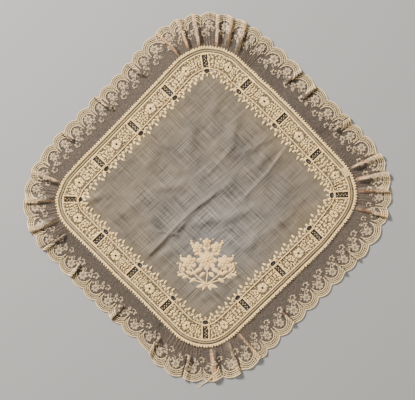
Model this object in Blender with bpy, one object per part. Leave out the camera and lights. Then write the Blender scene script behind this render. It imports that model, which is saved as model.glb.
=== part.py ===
"""Lace handkerchief: a square of fine linen, and a frill of scalloped lace sewn round it.

Metres, +Z up. The cloth lies on Z = 0 with the centre of its box over the origin.
The tables are in millimetres. A run is a way round the hem, clockwise as seen from
above, from the point where the top corner starts to curve.
"""
import math
from collections import namedtuple

import bpy
import numpy as np
from mathutils import Vector
from mathutils.geometry import delaunay_2d_cdt

MM = 0.001

# The hem: where its four straight sides would meet, and how round each corner is
Corner = namedtuple("Corner", "x y radius")
CORNERS = (
    Corner(6.6, 225.3, 71.5),
    Corner(220.0, 0.65, 63.7),
    Corner(-3.1, -217.0, 58.5),
    Corner(-212.0, -3.1, 46.8),
)
ARC_STEPS = 48
TANGENT_STEP = 0.5

# How far the hem has pulled out of that even line, or in
Bulge = namedtuple("Bulge", "run out")
HEM_BULGES = (
    Bulge(0.0, 1.2),
    Bulge(17.0, 2.3),
    Bulge(47.0, 4.0),
    Bulge(68.0, 2.3),
    Bulge(82.0, 0.0),
    Bulge(108.0, -3.9),
    Bulge(130.0, -3.0),
    Bulge(162.0, -0.8),
    Bulge(195.0, 0.3),
    Bulge(331.0, 0.0),
    Bulge(377.0, -3.9),
    Bulge(422.0, 0.0),
    Bulge(582.0, -0.9),
    Bulge(617.0, 0.9),
    Bulge(650.0, 0.0),
    Bulge(728.0, 0.4),
    Bulge(780.0, 2.0),
    Bulge(858.0, 3.0),
    Bulge(900.0, 2.4),
    Bulge(916.0, 0.4),
    Bulge(949.0, 1.7),
    Bulge(1019.0, 0.9),
    Bulge(1105.0, 0.9),
)

# Linen: thickness, and the hem's rings from its edge inward with their extra height
LINEN_THICK = 1.2
Ring = namedtuple("Ring", "inset rise steps")
HEM_EDGE = Ring(0.0, 0.0, 104)
HEM_RINGS = (
    Ring(2.2, 0.8, 104),
    Ring(5.0, 0.35, 104),
    Ring(7.6, 0.8, 104),
    Ring(9.2, 0.0, 104),
)
INNER_CORD = Ring(28.3, 0.5, 104)
SPRIG_RING = Ring(42.0, 0.0, 40)

# Drawn-thread windows, by their run: two columns of gaps on a spine, and an eyelet
WINDOW_RUNS = (47, 128, 192, 256, 334, 414, 480, 544, 622, 701, 762, 824, 902, 977, 1041, 1105)
WINDOW_OUTER = 10.4
WINDOW_INNER = 27.0
WINDOW_WIDE = 7.8
WINDOW_ROWS = 3
BAR_WIDE = 0.9
EYELET_INSET = 31.8
EYELET_LONG = 7.0
EYELET_WIDE = 4.6
EYELET_POINTS = 8

# Creases in the linen, as soft ridges from end to end
Crease = namedtuple("Crease", "x0 y0 x1 y1 rise reach")
CREASES = (
    Crease(-74, -72, -45, -47, 1.2, 5.0),
    Crease(-45, -47, -26, -28, 1.5, 5.0),
    Crease(-26, -28, -11, -11, 1.5, 5.0),
    Crease(-11, -11, 18, 11, 1.2, 5.0),
    Crease(43, -5, 72, 23, 0.9, 5.0),
    Crease(72, 23, 105, 66, 1.1, 5.0),
    Crease(-16, 19, 34, 65, 0.6, 9.0),
    Crease(65, -52, 87, -78, 0.7, 5.0),
    Crease(-66, -43, -39, -48, 0.6, 4.0),
    Crease(53, 58, 85, 78, 0.7, 5.0),
    Crease(-74, 78, -51, 65, 0.6, 5.0),
    Crease(5, -48, 24, -30, 0.5, 9.0),
    Crease(-60, -2, -38, 6, 0.5, 8.0),
    Crease(102, -28, 118, -8, 0.5, 7.0),
)
CREASE_STEP = 13.0
CREASE_FOOT = 1.5
FIELD_STEP = 18.0
FIELD_INSET = 45.0
POINT_SPACE = 6.0
SAME_POINT = 1e-6

# Lace frill: thickness, its gap to the hem, and the scallops in each stretch of the run
LACE_THICK = 1.0
SEAM_GAP = 0.3
MITRE_LIMIT = 0.7
Stretch = namedtuple("Stretch", "run scallops")
STRETCHES = (
    Stretch(8.5, 8),
    Stretch(116.4, 5),
    Stretch(240.5, 3),
    Stretch(300.3, 4),
    Stretch(360.1, 2),
    Stretch(397.2, 7),
    Stretch(562.9, 7),
    Stretch(670.8, 2),
    Stretch(724.1, 6),
    Stretch(860.6, 5),
    Stretch(929.5, 4),
    Stretch(1017.9, 5),
    Stretch(1120.6, 1),
)
SCALLOP_STEPS = 4
COLUMN_SPACE = 1.0
NOTCH_DEEP = 4.6
RIPPLE_RISE = 1.2
SCALLOP_FLAT = 25.4

# How far the scallops reach out from the even line of the hem
Reach = namedtuple("Reach", "run out")
REACHES = (
    Reach(45, 48.2),
    Reach(108, 41.6),
    Reach(150, 44.6),
    Reach(300, 46.6),
    Reach(375, 43.0),
    Reach(450, 45.0),
    Reach(600, 46.4),
    Reach(650, 46.8),
    Reach(687, 40.5),
    Reach(716, 44.4),
    Reach(780, 47.3),
    Reach(870, 46.4),
    Reach(922, 43.2),
    Reach(960, 46.0),
    Reach(1080, 44.6),
    Reach(1120, 46.6),
)

# Pleats: run at the scalloped edge, width tucked under, side that lies on top, and slant
Pleat = namedtuple("Pleat", "run tuck lean slant")
PLEATS = (
    Pleat(10.0, 2.8, 1, -6),
    Pleat(30.0, 3.0, 1, 2),
    Pleat(43.0, 3.2, 1, 0),
    Pleat(62.5, 2.8, 1, 0),
    Pleat(74.0, 2.8, -1, 0),
    Pleat(85.5, 3.0, -1, -6),
    Pleat(165.0, 3.0, 1, 5),
    Pleat(192.4, 3.4, 1, 0),
    Pleat(253.5, 5.6, 1, 9),
    Pleat(304.0, 3.4, 1, 4),
    Pleat(319.0, 3.4, 1, 3),
    Pleat(332.0, 2.8, -1, 0),
    Pleat(352.0, 3.0, -1, 0),
    Pleat(397.0, 2.8, -1, -5),
    Pleat(421.0, 2.7, 1, 0),
    Pleat(515.0, 4.0, 1, 0),
    Pleat(578.0, 3.6, 1, 2),
    Pleat(597.0, 3.2, 1, 5),
    Pleat(615.0, 4.2, -1, -2),
    Pleat(638.0, 3.2, -1, -2),
    Pleat(671.0, 5.4, -1, -12),
    Pleat(738.5, 4.6, 1, -2),
    Pleat(814.5, 3.6, 1, -2),
    Pleat(864.0, 3.0, -1, 5),
    Pleat(880.0, 3.4, 1, 2),
    Pleat(900.0, 4.4, 1, 0),
    Pleat(921.0, 3.2, -1, -2),
    Pleat(972.0, 2.8, 1, 0),
    Pleat(1035.0, 4.4, 1, -2),
    Pleat(1095.0, 4.2, 1, -2),
)
PLEAT_REACH = 1.5
SLANT_REACH = 15.0
LAYER_STEP = LACE_THICK + 0.3
STAND_RISE = 1.3

# Rows of points across the frill: how far out, and how far each pleat there has risen,
# stood on edge and folded over
Row = namedtuple("Row", "out rise stand fold")
FRILL_ROWS = (
    Row(0.0, 0.0, 0.0, 0.0),
    Row(0.26, 1.0, 1.0, 0.0),
    Row(0.44, 1.0, 1.0, 0.38),
    Row(0.65, 1.0, 0.0, 1.0),
    Row(1.0, 1.0, 0.0, 1.0),
)

# Colours, as linear red, green, blue
LINEN_COLOUR = (0.36, 0.32, 0.24, 1.0)
LACE_COLOUR = (0.50, 0.43, 0.32, 1.0)
CLOTH_ROUGHNESS = 0.9


def unit(vector):
    """The same direction, one long."""
    return vector / np.linalg.norm(vector)


def corner_curve(before, corner, after):
    """Points along one rounded corner of the hem."""
    here = np.array([corner.x, corner.y])
    arriving = unit(here - np.array([before.x, before.y]))
    leaving = unit(np.array([after.x, after.y]) - here)
    turn = math.acos(arriving @ leaving)
    setback = corner.radius * math.tan(turn / 2)
    inward = np.array([arriving[1], -arriving[0]])
    centre = here - arriving * setback + inward * corner.radius
    angles = np.linspace(0, turn, ARC_STEPS + 1)[:, None]
    return centre + corner.radius * (arriving * np.sin(angles) - inward * np.cos(angles))


def even_line():
    """The hem's even line as a closed run of points, and the run at each point."""
    curves = []
    for i, corner in enumerate(CORNERS):
        after = CORNERS[(i + 1) % len(CORNERS)]
        curves.append(corner_curve(CORNERS[i - 1], corner, after))
    points = np.concatenate(curves + [curves[0][:1]])
    steps = np.linalg.norm(np.diff(points, axis=0), axis=1)
    return points, np.concatenate([[0.0], np.cumsum(steps)])


LINE_POINTS, LINE_RUNS = even_line()
HEM_RUN = LINE_RUNS[-1]


def ring_value(table, run):
    """The second column of a closed table at a run, eased from row to row."""
    rows = np.array(table, dtype=float)
    runs = np.concatenate([[rows[-1, 0] - HEM_RUN], rows[:, 0], [rows[0, 0] + HEM_RUN]])
    values = np.concatenate([[rows[-1, 1]], rows[:, 1], [rows[0, 1]]])
    where = np.mod(run, HEM_RUN)
    index = np.searchsorted(runs, where, side="right") - 1
    part = (where - runs[index]) / (runs[index + 1] - runs[index])
    ease = part * part * (3 - 2 * part)
    return values[index] + ease * (values[index + 1] - values[index])


def line_point(run):
    """The even line's points at some runs."""
    where = np.mod(run, HEM_RUN)
    x = np.interp(where, LINE_RUNS, LINE_POINTS[:, 0])
    y = np.interp(where, LINE_RUNS, LINE_POINTS[:, 1])
    return np.stack([x, y], axis=-1)


def line_tangent(run):
    """The even line's directions at some runs."""
    ahead = line_point(run + TANGENT_STEP)
    behind = line_point(run - TANGENT_STEP)
    step = ahead - behind
    return step / np.linalg.norm(step, axis=-1, keepdims=True)


def beside(run, out):
    """Points at a distance outside the even line."""
    tangent = line_tangent(run)
    outward = np.stack([-tangent[..., 1], tangent[..., 0]], axis=-1)
    return line_point(run) + outward * np.asarray(out)[..., None]


def in_cloth(run, inset):
    """Points at a distance inside the linen's own edge."""
    run = np.asarray(run, dtype=float)
    return beside(run, ring_value(HEM_BULGES, run) - inset)


def window_gaps(run):
    """The corners of each gap in one drawn-thread window."""
    middle = in_cloth(run, (WINDOW_OUTER + WINDOW_INNER) / 2)
    along = line_tangent(run)
    inward = np.array([along[1], -along[0]])
    tall = (WINDOW_INNER - WINDOW_OUTER - (WINDOW_ROWS - 1) * BAR_WIDE) / WINDOW_ROWS
    wide = (WINDOW_WIDE - BAR_WIDE) / 2
    gaps = []
    for side in (-1, 1):
        for row in range(WINDOW_ROWS):
            across = side * (BAR_WIDE + wide) / 2
            down = (row - (WINDOW_ROWS - 1) / 2) * (tall + BAR_WIDE)
            centre = middle + along * across + inward * down
            half_along = along * wide / 2
            half_down = inward * tall / 2
            gaps.append([
                centre - half_along - half_down,
                centre + half_along - half_down,
                centre + half_along + half_down,
                centre - half_along + half_down,
            ])
    return gaps


def eyelet(run):
    """The rim of the eyelet that lies inside a window."""
    centre = in_cloth(run, EYELET_INSET)
    along = line_tangent(run)
    inward = np.array([along[1], -along[0]])
    rim = []
    for k in range(EYELET_POINTS):
        angle = 2 * math.pi * (k + 0.5) / EYELET_POINTS
        long_way = along * math.cos(angle) * EYELET_LONG / 2
        rim.append(centre + long_way + inward * math.sin(angle) * EYELET_WIDE / 2)
    return rim


def crease_rise(point):
    """How much the creases lift the linen at a point."""
    rise = 0.0
    for crease in CREASES:
        start = np.array([crease.x0, crease.y0])
        way = np.array([crease.x1, crease.y1]) - start
        part = np.clip((point - start) @ way / (way @ way), 0, 1)
        distance = np.linalg.norm(point - start - way * part)
        rise = max(rise, crease.rise * math.exp(-(distance / crease.reach) ** 2))
    return rise


def crease_points():
    """Points along each crease's crest and along both its feet."""
    points = []
    for crease in CREASES:
        start = np.array([crease.x0, crease.y0])
        way = np.array([crease.x1, crease.y1]) - start
        count = max(2, round(np.linalg.norm(way) / CREASE_STEP))
        across = unit(np.array([way[1], -way[0]])) * crease.reach * CREASE_FOOT
        for k in range(count + 1):
            here = start + way * k / count
            points += [here, here + across, here - across]
    return points


def field_points():
    """An even spread of points over the plain middle of the linen."""
    count = int(max(c.y for c in CORNERS) / FIELD_STEP)
    points = []
    for i in range(-count, count + 1):
        for j in range(-count, count + 1):
            points.append(np.array([(i + j % 2 / 2) * FIELD_STEP, j * FIELD_STEP]))
    return points


def is_inside(polygon, points):
    """Which points lie inside a polygon."""
    inside = np.zeros(len(points), dtype=bool)
    for a, b in zip(polygon, np.roll(polygon, -1, axis=0)):
        crosses = (a[1] > points[:, 1]) != (b[1] > points[:, 1])
        rise = b[1] - a[1]
        if rise:
            left = points[:, 0] < a[0] + (points[:, 1] - a[1]) * (b[0] - a[0]) / rise
            inside ^= crosses & left
    return inside


def spaced(points, taken):
    """The points that stand clear of each other and of those already taken."""
    kept = list(taken)
    fresh = []
    for point in points:
        if np.min(np.linalg.norm(np.array(kept) - point, axis=1)) > POINT_SPACE:
            kept.append(point)
            fresh.append(point)
    return fresh


def triangles(points, edge_loop, hole_loops, fixed_loops=()):
    """Triangles over the points, inside the edge and out of the holes."""
    edges = []
    for loop in (edge_loop, *hole_loops, *fixed_loops):
        edges += [(a, b) for a, b in zip(loop, loop[1:] + loop[:1])]
    found = delaunay_2d_cdt([Vector(p) for p in points], edges, [], 0, SAME_POINT)
    source = [ids[0] for ids in found[3]]
    faces = [[source[i] for i in face] for face in found[2]]
    hole_of = {i: k for k, loop in enumerate(hole_loops) for i in loop}
    spots = np.array(points)
    centres = np.array([spots[face].mean(axis=0) for face in faces])
    inside = is_inside(spots[edge_loop], centres)
    kept = []
    for face, within in zip(faces, inside):
        holes = {hole_of.get(i, -1) for i in face}
        if within and (len(holes) > 1 or -1 in holes):
            kept.append(face)
    return kept


def facing_up(face, points):
    """The same triangle, counter-clockwise as seen from above."""
    a, b, c = (points[i] for i in face)
    turn = (b[0] - a[0]) * (c[1] - a[1]) - (b[1] - a[1]) * (c[0] - a[0])
    return face if turn > 0 else face[::-1]


def linen_mesh():
    """Points and faces of the linen: a flat underside, and hem and creases on top."""
    points = []
    rises = []
    loops = []
    for ring in (HEM_EDGE, *HEM_RINGS, INNER_CORD, SPRIG_RING):
        runs = np.arange(ring.steps) * HEM_RUN / ring.steps
        start = len(points)
        points += list(in_cloth(runs, ring.inset))
        rises += [ring.rise] * ring.steps
        loops.append(list(range(start, len(points))))
    holes = []
    for run in WINDOW_RUNS:
        for rim in window_gaps(run) + [eyelet(run)]:
            start = len(points)
            points += rim
            rises += [0.0] * len(rim)
            holes.append(list(range(start, len(points))))
    runs = np.arange(SPRIG_RING.steps) * HEM_RUN / SPRIG_RING.steps
    field_edge = in_cloth(runs, FIELD_INSET)
    candidates = np.array(crease_points() + field_points())
    candidates = candidates[is_inside(field_edge, candidates)]
    field = spaced(candidates, points)
    rises += [crease_rise(point) for point in field]
    points += field
    upper = triangles(points, loops[0], holes, loops[1:])

    edge_count = len(loops[0])
    under = loops[0] + [i for hole in holes for i in hole]
    place = {i: k for k, i in enumerate(under)}
    flat = [points[i] for i in under]
    hole_places = [[place[i] for i in hole] for hole in holes]
    lower = triangles(flat, list(range(edge_count)), hole_places)

    verts = [(p[0], p[1], LINEN_THICK + rise) for p, rise in zip(points, rises)]
    base = len(verts)
    verts += [(p[0], p[1], 0.0) for p in flat]
    faces = [facing_up(face, points) for face in upper]
    for face in lower:
        faces.append([base + i for i in facing_up(face, flat)[::-1]])
    for loop in [loops[0]] + [hole[::-1] for hole in holes]:
        for a, b in zip(loop, loop[1:] + loop[:1]):
            faces.append([a, b, base + place[b], base + place[a]])
    return verts, faces


def scallop_table():
    """Runs at the ends of the stretches, and the scallops counted up to each."""
    runs = [row.run for row in STRETCHES] + [STRETCHES[0].run + HEM_RUN]
    counts = np.concatenate([[0], np.cumsum([row.scallops for row in STRETCHES])])
    return np.array(runs), counts.astype(float)


def fold_section(tuck, lean):
    """One pleat from side to side: flat places, folded places, rises, and what stands up."""
    bend = LAYER_STEP / 2
    half = PLEAT_REACH * tuck
    edge = tuck / 2
    path = [
        (-half, 0.0, 0.0),
        (edge - bend, 0.0, 0.0),
        (edge, bend, 0.0),
        (edge - bend, 2 * bend, 0.0),
        (bend - edge, 2 * bend, 1.0),
        (-edge, 3 * bend, 1.0),
        (bend - edge, 4 * bend, 1.0),
        (edge, 4 * bend, 1.0),
        (half, 0.0, 0.0),
    ]
    path = np.array(path)
    if lean < 0:
        path = path[::-1] * np.array([-1, 1, 1])
    steps = np.linalg.norm(np.diff(path[:, :2], axis=0), axis=1)
    share = np.concatenate([[0.0], np.cumsum(steps)]) / steps.sum()
    return (2 * share - 1) * half, path[:, 0], path[:, 1], path[:, 2]


def frill_columns():
    """Columns round the frill: flat run, shift, rise and stand when folded, and scallop."""
    runs, counts = scallop_table()
    total = int(counts[-1])
    plain = np.interp(np.arange(total * SCALLOP_STEPS) / SCALLOP_STEPS, counts, runs)
    columns = [(run, 0.0, 0.0, 0.0, False) for run in plain]
    for pleat in PLEATS:
        centre = pleat.run if pleat.run > runs[0] else pleat.run + HEM_RUN
        half = PLEAT_REACH * pleat.tuck
        columns = [c for c in columns if abs(c[0] - centre) > half + COLUMN_SPACE]
        for flat, folded, rise, stand in zip(*fold_section(pleat.tuck, pleat.lean)):
            columns.append((centre + flat, folded - flat, rise, stand, True))
    columns.sort(key=lambda column: column[0])
    table = np.array(columns)
    scallop = np.interp(table[:, 0], runs, counts)
    return table, scallop


def ripple(run, scallop):
    """How high the spare width of each scallop lifts it from the surface."""
    runs, counts = scallop_table()
    ahead = np.interp(run + TANGENT_STEP, runs, counts)
    behind = np.interp(run - TANGENT_STEP, runs, counts)
    strip = (ahead - behind) * SCALLOP_FLAT
    fullness = np.clip(strip / (2 * TANGENT_STEP) - 1, 0, 1)
    return RIPPLE_RISE * fullness * np.sin(math.pi * scallop) ** 2


def slanted(run, out_share):
    """Runs after the nearby pleats have pulled them aside, less and less towards the edge."""
    moved = run.copy()
    for pleat in PLEATS:
        away = np.mod(run - pleat.run + HEM_RUN / 2, HEM_RUN) - HEM_RUN / 2
        pull = pleat.slant * (1 - out_share)
        moved -= pull * np.exp(-(away / SLANT_REACH) ** 2)
    return moved


def frill_row(row, table, scallop):
    """The middle of the lace along one row, and the way round at each point."""
    flat_run, shift, rise, stand, in_pleat = table.T
    run = slanted(flat_run, row.out) + shift * row.fold
    phase = np.mod(scallop, 1.0)
    notch = NOTCH_DEEP * (2 * phase - 1) ** 2
    inner = ring_value(HEM_BULGES, run) + SEAM_GAP
    outer = ring_value(REACHES, flat_run) - notch
    spot = beside(run, inner + row.out * (outer - inner))
    wave = ripple(flat_run, scallop) * (1 - in_pleat) * row.out
    fold_height = rise * row.rise + STAND_RISE * stand * row.stand
    height = LACE_THICK / 2 + fold_height + wave
    return np.column_stack([spot, height]), line_tangent(run)


def thickened(middle, tangent):
    """Top and bottom points of a row, half the lace's thickness to each side."""
    step = np.roll(middle, -1, axis=0) - middle
    along = np.einsum("ij,ij->i", step[:, :2], tangent)
    normal = np.column_stack([-step[:, 2], along])
    normal /= np.linalg.norm(normal, axis=1, keepdims=True)
    before = np.roll(normal, 1, axis=0)
    mean = normal + before
    mean /= np.linalg.norm(mean, axis=1, keepdims=True)
    slope = np.clip(np.einsum("ij,ij->i", mean, normal), MITRE_LIMIT, 1)
    offset = mean * (LACE_THICK / 2 / slope)[:, None]
    lift = np.column_stack([tangent * offset[:, :1], offset[:, 1]])
    return middle + lift, middle - lift


def frill_mesh():
    """Points and faces of the lace frill, one closed ring of pleated cloth."""
    table, scallop = frill_columns()
    count = len(table)
    tops = []
    bottoms = []
    for row in FRILL_ROWS:
        middle, tangent = frill_row(row, table, scallop)
        top, bottom = thickened(middle, tangent)
        tops.append(top)
        bottoms.append(bottom)
    verts = [tuple(p) for p in np.concatenate(tops + bottoms)]
    rows = len(FRILL_ROWS)
    under = rows * count
    faces = []
    for k in range(count):
        n = (k + 1) % count
        for r in range(rows - 1):
            a = r * count
            b = a + count
            for face in ([a + k, a + n, b + n], [a + k, b + n, b + k]):
                faces.append(face)
                faces.append([under + i for i in face[::-1]])
        last = (rows - 1) * count
        faces.append([under + k, under + n, n, k])
        faces.append([last + k, last + n, under + last + n, under + last + k])
    return verts, faces


def fabric(name, colour):
    """A plain matt cloth material."""
    material = bpy.data.materials.new(name)
    material.use_nodes = True
    shader = material.node_tree.nodes["Principled BSDF"]
    shader.inputs["Base Color"].default_value = colour
    shader.inputs["Roughness"].default_value = CLOTH_ROUGHNESS
    shader.inputs["Metallic"].default_value = 0.0
    material.diffuse_color = colour
    return material


def add_piece(name, verts, faces, shift, material):
    """One named object from points in millimetres."""
    mesh = bpy.data.meshes.new(name)
    placed = [((x - shift[0]) * MM, (y - shift[1]) * MM, z * MM) for x, y, z in verts]
    mesh.from_pydata(placed, [], faces)
    mesh.validate()
    mesh.materials.append(material)
    piece = bpy.data.objects.new(name, mesh)
    bpy.context.scene.collection.objects.link(piece)
    return piece


def clear_scene():
    """Empty the scene of the objects that it opens with."""
    for item in list(bpy.data.objects):
        bpy.data.objects.remove(item, do_unlink=True)


def main():
    """Both pieces, with the centre of their box over the origin."""
    clear_scene()
    linen_verts, linen_faces = linen_mesh()
    frill_verts, frill_faces = frill_mesh()
    spread = np.array(frill_verts)[:, :2]
    shift = (spread.min(axis=0) + spread.max(axis=0)) / 2
    add_piece("linen_centre", linen_verts, linen_faces, shift, fabric("linen", LINEN_COLOUR))
    add_piece("lace_frill", frill_verts, frill_faces, shift, fabric("lace", LACE_COLOUR))


main()
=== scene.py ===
"""Looks of the lace handkerchief: sheer linen, its embroidery and the gathered lace frill.

Lengths in the tables are millimetres. A run is a way round the hem, clockwise as seen
from above, from the point where the top corner starts to curve.
"""
import math
from collections import namedtuple

import bpy
import numpy as np
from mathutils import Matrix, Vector
from mathutils.geometry import delaunay_2d_cdt
from mathutils.kdtree import KDTree


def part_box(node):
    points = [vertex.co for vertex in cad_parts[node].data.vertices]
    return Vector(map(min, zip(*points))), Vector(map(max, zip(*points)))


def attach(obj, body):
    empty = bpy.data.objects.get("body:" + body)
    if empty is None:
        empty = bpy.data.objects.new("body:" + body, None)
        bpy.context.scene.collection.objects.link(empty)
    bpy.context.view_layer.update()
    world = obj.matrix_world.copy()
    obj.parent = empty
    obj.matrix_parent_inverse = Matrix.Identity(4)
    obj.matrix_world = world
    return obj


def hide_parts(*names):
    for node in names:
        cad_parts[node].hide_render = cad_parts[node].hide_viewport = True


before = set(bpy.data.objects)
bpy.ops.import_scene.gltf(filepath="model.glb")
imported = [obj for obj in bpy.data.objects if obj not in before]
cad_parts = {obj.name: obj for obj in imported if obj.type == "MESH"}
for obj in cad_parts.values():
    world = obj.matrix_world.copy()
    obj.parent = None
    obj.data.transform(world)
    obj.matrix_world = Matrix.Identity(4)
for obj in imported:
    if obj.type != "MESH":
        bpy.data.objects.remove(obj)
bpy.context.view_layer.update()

MM = 0.001

# The view: the image's width in pixels, a pixel's size, the camera's height in metres, its
# centre, and the light from all round
IMAGE_WIDE = 415
PIXEL = 1.3
CAMERA_HIGH = 2.4
VIEW_CENTRE = (0.65, -2.7)
ROOM_LIGHT = 0.546

# The hem: where its four straight sides would meet, and how round each corner is
Corner = namedtuple("Corner", "x y radius")
CORNERS = (
    Corner(6.6, 225.3, 71.5),
    Corner(220.0, 0.65, 63.7),
    Corner(-3.1, -217.0, 58.5),
    Corner(-212.0, -3.1, 46.8),
)
ARC_STEPS = 48
TANGENT_STEP = 0.5

# The run at some places, and how far the hem has pulled out of that even line there, or in
HEM_BULGES = (
    (0.0, 1.2), (17.0, 2.3), (47.0, 4.0), (68.0, 2.3), (82.0, 0.0), (108.0, -3.9), (130.0, -3.0),
    (162.0, -0.8), (195.0, 0.3), (331.0, 0.0), (377.0, -3.9), (422.0, 0.0), (582.0, -0.9),
    (617.0, 0.9), (650.0, 0.0), (728.0, 0.4), (780.0, 2.0), (858.0, 3.0), (900.0, 2.4),
    (916.0, 0.4), (949.0, 1.7), (1019.0, 0.9), (1105.0, 0.9),
)

# Points round the hem for its size, for its edge and for the cord inside it
HEM_EDGE_STEPS = 104
HEM_POINTS = 520
CORD_POINTS = 620

# Drawn-thread windows and eyelets: their runs, and distances in from the hem's edge
WINDOW_RUNS = (47, 128, 192, 256, 334, 414, 480, 544, 622, 701, 762, 824, 902, 977, 1041, 1105)
WINDOW_OUTER = 10.4
WINDOW_INNER = 27.0
WINDOW_MIDDLE = (WINDOW_OUTER + WINDOW_INNER) / 2
WINDOW_TALL = (WINDOW_INNER - WINDOW_OUTER) / 2
WINDOW_HALF = 3.9
RUNGS = 7
EYELET_INSET = 31.8
EYELET_LONG = 7.0
EYELET_WIDE = 4.6
EYELET_POINTS = 24

# Creases in the linen, as soft ridges from end to end, steeper to the right of their way at
# lean 1 and to the left at lean -1
Crease = namedtuple("Crease", "x0 y0 x1 y1 rise reach lean")
CREASES = [Crease(*row) for row in (
    (-74, -72, -45, -47, 1.2, 5.0, 1), (-45, -47, -26, -28, 1.5, 5.0, 1),
    (-26, -28, -11, -11, 1.5, 5.0, 1), (-11, -11, 18, 11, 1.2, 5.0, 1),
    (43, -5, 72, 23, 0.6, 4.0, -1), (72, 23, 105, 66, 0.7, 4.0, -1),
    (-16, 19, 34, 65, 0.6, 9.0, -1), (65, -52, 87, -78, 0.7, 5.0, 1),
    (-66, -43, -39, -48, 0.6, 4.0, -1), (53, 58, 85, 78, 0.7, 5.0, 1),
    (-74, 78, -51, 65, 0.6, 5.0, 1), (5, -48, 24, -30, 0.5, 9.0, 1), (-60, -2, -38, 6, 0.5, 8.0, 1),
    (102, -28, 118, -8, 0.5, 7.0, 1),
)]
CREASE_LEAN = 0.5

# The sharp lines pressed into the cloth, most of them along the creases
NIPS = [Crease(*row) for row in (
    (-73, -72, -57, -56, 1.0, 1.5, 1), (-57, -56, -38, -36, 1.2, 1.5, 1),
    (-38, -36, -20, -18, 1.2, 1.5, 1), (-20, -18, 8, 3, 0.8, 1.5, 1),
    (-40, -46, -30, -34, 0.6, 1.2, 1), (50, 3, 65, 20, 1.0, 1.1, -1),
    (65, 20, 79, 34, 1.2, 1.1, -1), (79, 34, 96, 58, 1.2, 1.1, -1), (96, 58, 103, 68, 0.7, 1.4, -1),
    (0, 30, 33, 66, 0.6, 1.5, -1), (-61, -43, -39, -47, 1.1, 1.1, -1),
    (65, -51, 75, -66, 0.7, 1.5, 1), (71, -57, 84, -77, 0.7, 1.5, 1), (43, 82, 62, 62, 0.8, 1.6, 1),
    (50, 60, 74, 72, 0.6, 1.5, 1), (-77, 76, -52, 64, 0.6, 1.5, 1),
    (14, -45, 30, -38, 0.5, 1.5, -1), (26, -112, 46, -98, 0.5, 1.4, 1),
    (-31, 104, -20, 84, 0.5, 1.6, 1), (-112, 2, -84, -16, 0.5, 1.6, 1),
    (92, -18, 112, 4, 0.5, 1.6, -1), (-22, -118, -4, -132, 0.4, 1.5, 1),
)]

# Soft swells where the linen doesn't lie flat: place, turn, half sizes and rise
Swell = namedtuple("Swell", "x y turn long wide rise")
SWELLS = [Swell(*row) for row in (
    (33, 80, 75, 20, 7, 1.1), (28, 17, 60, 14, 7, 1.0), (-3, -30, 15, 20, 7, 1.2),
    (38, -22, 20, 22, 7, 1.1), (-46, 15, 10, 18, 6, 0.9), (-150, -1, 15, 17, 6, 1.0),
    (72, 48, 50, 15, 6, 0.8), (-74, 45, 70, 22, 9, 0.7), (-100, -12, 35, 17, 8, 0.7),
    (-20, 78, 80, 22, 8, 0.9), (102, 12, 55, 15, 9, 0.7), (58, -58, 60, 17, 7, 0.9),
    (-50, -70, 40, 15, 7, 0.6), (10, 118, 70, 15, 7, 0.7), (-70, -30, 130, 13, 7, 0.6),
    (96, -30, 45, 15, 8, 0.7),
)]

# The linen's slight cockle: length of each wave, its way and its rise
Cockle = namedtuple("Cockle", "length turn phase rise")
COCKLES = [Cockle(*row) for row in (
    (31.0, 20, 0.3, 0.14), (23.0, 74, 2.1, 0.11), (18.5, 128, 4.0, 0.08), (14.5, 41, 1.2, 0.06),
    (12.0, 97, 5.2, 0.05), (10.5, 158, 3.3, 0.04),
)]
SWELL_GAIN = 2.1
COCKLE_GAIN = 1.2
COCKLE_BEND = 3.0

# The linen sheet's height, and the spacing of its points
LINEN_MID = 0.9
LINEN_GRID = 1.7
POINT_SPACE = 1.3
SAME_POINT = 1e-6

# Lace frill: its height, its gap to the hem, and the run and scallops of each of its stretches
LACE_MID = 0.55
SEAM_GAP = 0.3
STRETCHES = (
    (8.5, 8), (116.4, 5), (240.5, 3), (300.3, 4), (360.1, 2), (397.2, 7), (562.9, 7), (670.8, 2),
    (724.1, 6), (860.6, 5), (929.5, 4), (1017.9, 5), (1120.6, 1),
)
STRIP_WIDE = 44.0
SCALLOP_FLAT = 25.4
NOTCH_DEEP = 4.6
RIM_WIDE = 1.6

# Fullness at the corners: how it is measured, the waves and puckers it makes, and the painted highlight on
# the puckers' crests
SCALLOP_STEP = 0.05
LEAST_SPACING = 8
RIPPLE_RISE = 1.2
PUCKER_RISE = 0.45
PUCKER_REACH = 0.5
PUCKER_HIGHLIGHT = 0.6

# The run at some places, and how far the scallops reach out from the even line there
REACHES = (
    (45, 48.2), (108, 41.6), (150, 44.6), (300, 46.6), (375, 43.0), (450, 45.0), (600, 46.4),
    (650, 46.8), (687, 40.5), (716, 44.4), (780, 47.3), (870, 46.4), (922, 43.2), (960, 46.0),
    (1080, 44.6), (1120, 46.6),
)
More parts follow.
